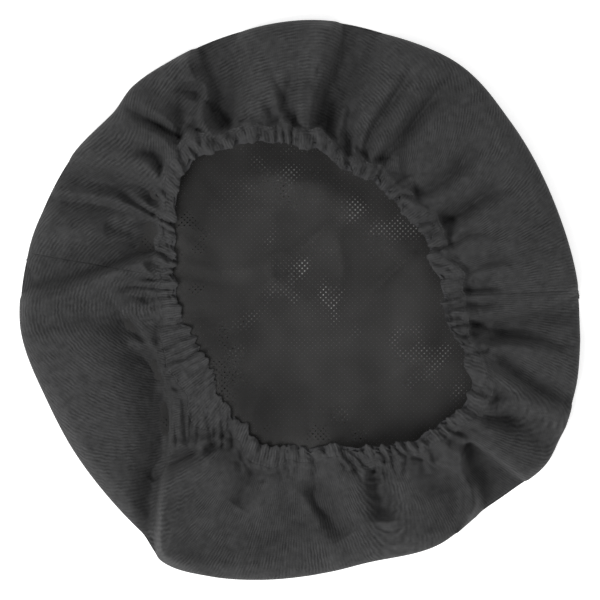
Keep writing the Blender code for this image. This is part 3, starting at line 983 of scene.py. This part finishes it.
def build_hem_stitches():
    degrees = np.arange(0.0, 360.01, 0.25)
    rows, _ = hem_surface(degrees, np.array([2.25, 2.35, 2.45]))
    up = surface_normals(rows)[:, 1]
    return stitch_row("hem_stitches", rows[:, 1], up * np.sign(up[:, 2:]), STITCH, thread_black)


def build_crown_stitches():
    degrees = np.arange(0.0, 360.01, 0.25)
    rim = around(RIM, degrees)
    seam_in = rim * (1 - SEAM_SHARE)
    under = np.arccos(1 - (seam_in - 3.0) / seam_in)
    x, y = plan(degrees, rim * SEAM_SHARE + 3.0)
    line = np.stack([x, y, RIM_HEIGHT - (RIM_HEIGHT - UNDERSIDE) * np.sin(under)], axis=-1)
    down = np.tile((0.0, 0.0, -1.0), (len(line), 1))
    return stitch_row("crown_stitches", line, down, STITCH, thread_black)


def build_lap_stitches():
    """The zigzag that joins the elastic's ends, just over the elastic."""
    zigzag = np.arange(15)
    degrees = 200.0 + (zigzag - 7) * 0.8
    inner, outer = hem_edges(degrees)
    share = np.where(zigzag % 2, 0.22, 0.48)[:, None]
    radius = inner[:, None] + share * (outer - inner)[:, None]
    x, y = plan(degrees[:, None], radius)
    height = casing_middle(degrees, share, crease_depths(x, y, CREASES)) + 0.2
    line = np.stack([x, y, height], axis=-1)[:, 0]
    up = np.tile((0.0, 0.0, 1.0), (len(line), 1))
    return stitch_row("lap_stitches", line, up, (2.2, 0.3, 0.15), thread_black)


crown_overlock = build_crown_overlock()
crown_stitches = build_crown_stitches()
allowance_left = build_side_allowance("allowance_left", LEFT_SEAM)
allowance_right = build_side_allowance("allowance_right", RIGHT_SEAM)
elastic_ring = build_elastic()
lap_stitches = build_lap_stitches()
hem_stitches = build_hem_stitches()


# Riding and replacing

for piece, cad_node, slot in (
    (band_back, "side_band_back", "twill"),
    (band_front, "side_band_front", "twill"),
    (allowance_left, "side_seam_left", "overlock"),
    (allowance_right, "side_seam_right", "overlock"),
    (hem_casing, "hem_casing", "twill"),
    (hem_stitches, "hem_stitch", "thread"),
    (elastic_ring, "elastic_band", "elastic"),
    (lap_stitches, "elastic_join", "thread"),
    (crown_net, "crown_mesh", "mesh_cloth"),
    (crown_overlock, "crown_seam", "overlock"),
    (crown_stitches, "crown_topstitch", "thread"),
):
    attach(piece, "root")
    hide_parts(cad_node)


# Floor, light and camera

FLOOR_HALF = 6000.0
# Painted light: the floor glows, starting just under the cap's rim and full a little way out, so
# that the cap's shadow on the floor beside it is washed out.
GLOW_START, GLOW_FULL = 0.130, 0.142  # metres from the middle between which the glow sets in
GLOW = 0.5
floor_corners = np.array(((-1, -1, 0), (1, -1, 0), (1, 1, 0), (-1, 1, 0))) * FLOOR_HALF
floor = mesh_object("floor", floor_corners, ((0, 1, 2, 3),))
floor_material, floor_tree, floor_shader = new_material("floor", (0.92, 0.92, 0.92), 0.9)
floor_place = node(floor_tree, "ShaderNodeTexCoord")
floor_away = node(floor_tree, "ShaderNodeVectorMath")
floor_away.operation = "LENGTH"
join(floor_tree, floor_place.outputs["Object"], floor_away.inputs[0])
# Painted light: emission on the floor round the rim that hides the cap's cast shadow.
shadow_fill_glow = map_range(floor_tree, floor_away.outputs["Value"], GLOW_START, GLOW_FULL, 0.0, GLOW)
floor_shader.inputs["Emission Color"].default_value = (1.0, 1.0, 1.0, 1.0)
join(floor_tree, shadow_fill_glow, floor_shader.inputs["Emission Strength"])
floor.data.materials.append(floor_material)

SKY = 0.74
world = bpy.data.worlds.new("studio")
world.use_nodes = True
world.node_tree.nodes["Background"].inputs["Color"].default_value = (1.0, 1.0, 1.0, 1.0)
world.node_tree.nodes["Background"].inputs["Strength"].default_value = SKY
scene = bpy.context.scene
scene.world = world

KEY_PLACE = Vector((-0.69, -0.69, 1.33))
KEY_AIM = Vector((0.0, 0.0, 0.02))
KEY_SIZE, KEY_POWER = 0.8, 20.0
key_data = bpy.data.lights.new("key", "AREA")
key_data.shape = "DISK"
key_data.size = KEY_SIZE
key_data.energy = KEY_POWER
key = bpy.data.objects.new("key", key_data)
key.location = KEY_PLACE
key.rotation_euler = (KEY_AIM - KEY_PLACE).to_track_quat("-Z", "Y").to_euler()
key.visible_camera = False
scene.collection.objects.link(key)

CAMERA_HEIGHT = 2.0
FRAME_WIDTH, FRAME_LEVEL = 0.3102, 0.012  # width of the view, and the height at which it is that
scene.view_settings.view_transform = "Standard"
camera_data = bpy.data.cameras.new("camera")
camera = bpy.data.objects.new("camera", camera_data)
scene.collection.objects.link(camera)
camera_data.lens = camera_data.sensor_width * (CAMERA_HEIGHT - FRAME_LEVEL) / FRAME_WIDTH
camera.location = (0.0, 0.0, CAMERA_HEIGHT)
camera.rotation_euler = (0.0, 0.0, 0.0)  # straight down
scene.camera = camera
